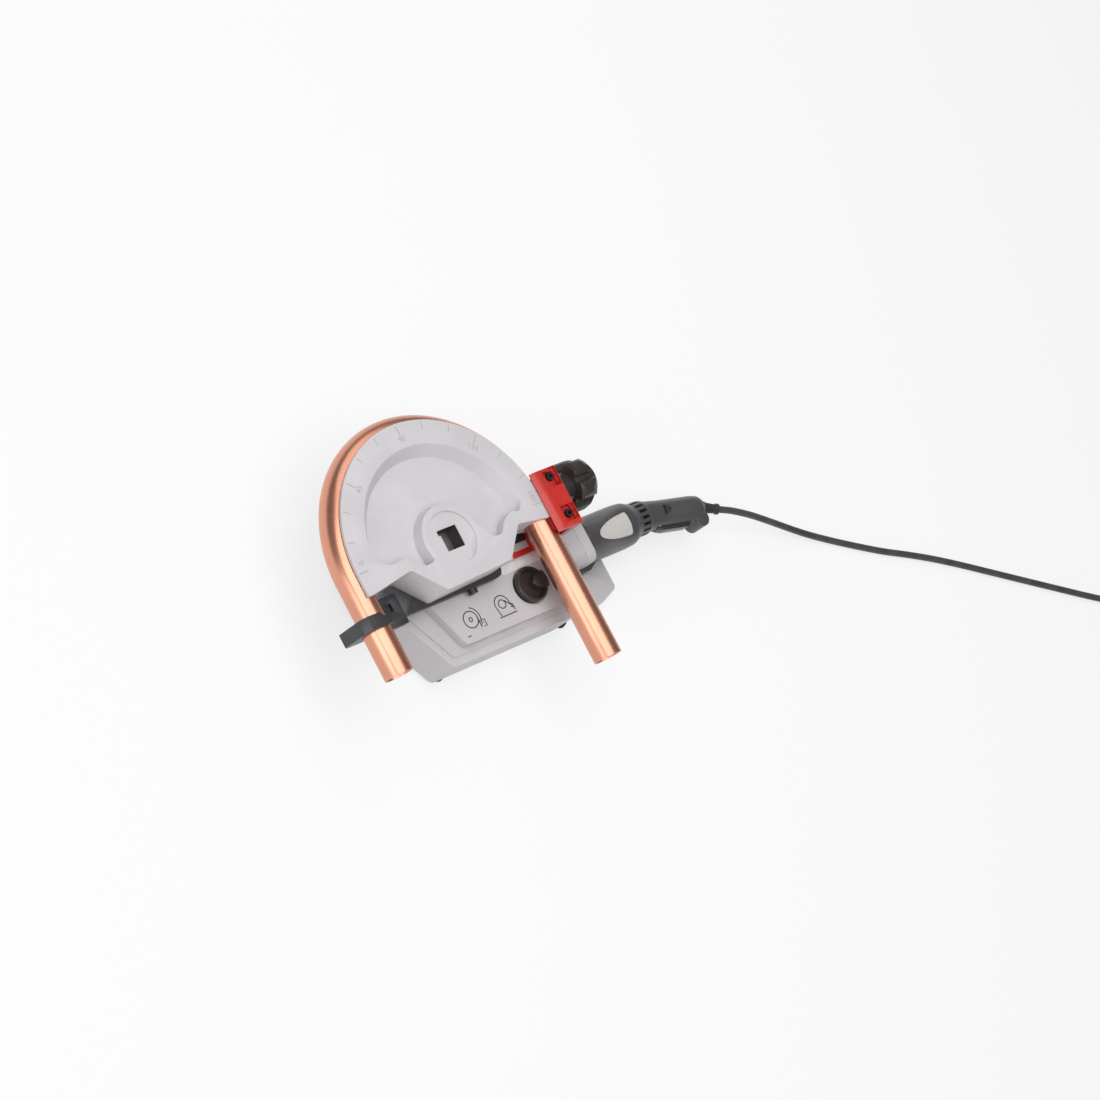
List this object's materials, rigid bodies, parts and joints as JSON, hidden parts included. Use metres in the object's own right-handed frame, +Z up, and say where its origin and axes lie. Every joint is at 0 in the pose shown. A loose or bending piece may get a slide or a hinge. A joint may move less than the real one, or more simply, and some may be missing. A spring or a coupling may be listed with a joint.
{
  "type": "electric pipe bender",
  "caption": "Bench pipe bender: a motor and worm gear turn a grooved half-round former that wraps a pipe, held by a hook and backed by a screwed shoe.",
  "frame": {"origin": "on the drive axis, on the underside of the base", "axes": "+Z up along the drive axis, +X towards the motor handle, +Y away from the pipe's legs"},
  "size_m": [1.1542, 0.5789, 0.109],
  "materials": {
    "cast_grey": "painted light grey casting, fine texture",
    "plate_grey": "matte plate",
    "foot_rubber": "matte black",
    "screw_steel": "zinc plated",
    "bolt_black": "black oxide",
    "bronze": "plain bearing bronze",
    "red_paint": "glossy red paint",
    "switch_plastic": "moulded",
    "casing_plastic": "fine moulded grain",
    "lamination": "stacked sheet",
    "winding": "varnished copper",
    "carbon": "carbon",
    "steel": "turned",
    "cord_rubber": "matte black",
    "tie_fabric": "woven strap",
    "pin_brass": "nickel plated",
    "former_alloy": "fine cast, machined rim",
    "hook_steel": "burnished black steel",
    "copper": "drawn copper",
    "fan_plastic": "moulded",
    "knob_black": "moulded, satin"
  },
  "bodies": {
    "frame": {"gear_housing": "cast_grey", "bottom_cover": "plate_grey", "rubber_feet": "foot_rubber", "cover_screws": "screw_steel", "upper_drive_bearing": "bronze", "lower_drive_bearing": "bronze", "layshaft_bushes": "bronze", "worm_bushes": "bronze", "slide_bracket": "red_paint", "bracket_bolts": "bolt_black", "selector_switch": "switch_plastic", "motor_shell_upper": "casing_plastic", "motor_shell_lower": "casing_plastic", "shell_screws": "screw_steel", "stator_core": "lamination", "field_coils": "winding", "brush_holders": "switch_plastic", "carbon_brushes": "carbon", "armature_bearings": "steel", "switch_body": "switch_plastic", "paddle_pin": "steel", "strain_relief": "cord_rubber", "cord_lead": "cord_rubber", "cord_coil": "cord_rubber", "coil_tie": "tie_fabric", "plug": "cord_rubber", "plug_pins": "pin_brass"},
    "drive": {"drive_shaft": "steel", "output_gear": "steel", "bending_former": "former_alloy", "hook_arm": "hook_steel", "pipe_hook": "hook_steel", "hook_screw": "bolt_black", "arm_pin": "bolt_black"},
    "pipe": {"copper_pipe": "copper"},
    "layshaft": {"layshaft": "steel", "worm_wheel": "bronze"},
    "worm": {"worm_shaft": "steel", "worm_gear": "steel"},
    "armature": {"armature_shaft": "steel", "armature_core": "lamination", "commutator": "winding", "fan": "fan_plastic"},
    "shoe": {"pressure_shoe": "red_paint"},
    "clamp_screw": {"clamp_spindle": "steel", "star_knob": "knob_black"},
    "selector": {"selector_knob": "knob_black"},
    "paddle": {"paddle_switch": "knob_black"},
    "lock": {"lock_button": "knob_black"}
  },
  "joints": [
    {"name": "armature_spin", "type": "hinge", "parent": "frame", "child": "armature", "pos_m": [0.2, -0.04, 0.029], "axis": [1, 0, 0], "range_deg": [-216000, 0]},
    {"name": "worm_spin", "type": "hinge", "parent": "frame", "child": "worm", "pos_m": [0.0673, -0.058, 0.02028], "axis": [1, 0, 0], "range_deg": [0, 54000]},
    {"name": "layshaft_spin", "type": "hinge", "parent": "frame", "child": "layshaft", "pos_m": [0.0673, -0.01925, 0.02], "axis": [0, 0, 1], "range_deg": [0, 1080]},
    {"name": "drive_turn", "type": "hinge", "parent": "frame", "child": "drive", "pos_m": [0, 0, 0.06], "axis": [0, 0, 1], "range_deg": [-180, 0]},
    {"name": "pipe_draw", "type": "slide", "parent": "drive", "child": "pipe", "axis": [0, 1, 0], "range_m": [0, 0.2]},
    {"name": "shoe_slide", "type": "slide", "parent": "frame", "child": "shoe", "axis": [1, 0, 0], "range_m": [0, 0.004]},
    {"name": "clamp_turn", "type": "hinge", "parent": "shoe", "child": "clamp_screw", "pos_m": [0.15, 0.007, 0.082], "axis": [1, 0, 0], "range_deg": [0, 480]},
    {"name": "selector_turn", "type": "hinge", "parent": "frame", "child": "selector", "pos_m": [0.095, -0.062, 0.052], "axis": [0, 0, 1], "range_deg": [-45, 45]},
    {"name": "paddle_press", "type": "hinge", "parent": "frame", "child": "paddle", "pos_m": [0.29436, -0.05485, 0.029], "axis": [0, 0, 1], "range_deg": [0, 2.5], "stiffness_Nm_per_rad": 2},
    {"name": "lock_press", "type": "slide", "parent": "frame", "child": "lock", "axis": [0, 0, -1], "range_m": [0, 0.002], "stiffness_N_per_m": 400}
  ],
  "couplings": [
    {"joint": "worm_spin", "follows": "armature_spin", "ratio": -0.25},
    {"joint": "layshaft_spin", "follows": "armature_spin", "ratio": -0.005},
    {"joint": "drive_turn", "follows": "armature_spin", "ratio": 0.00083333},
    {"joint": "clamp_turn", "follows": "shoe_slide", "rad_per_m": 2094.4}
  ]
}
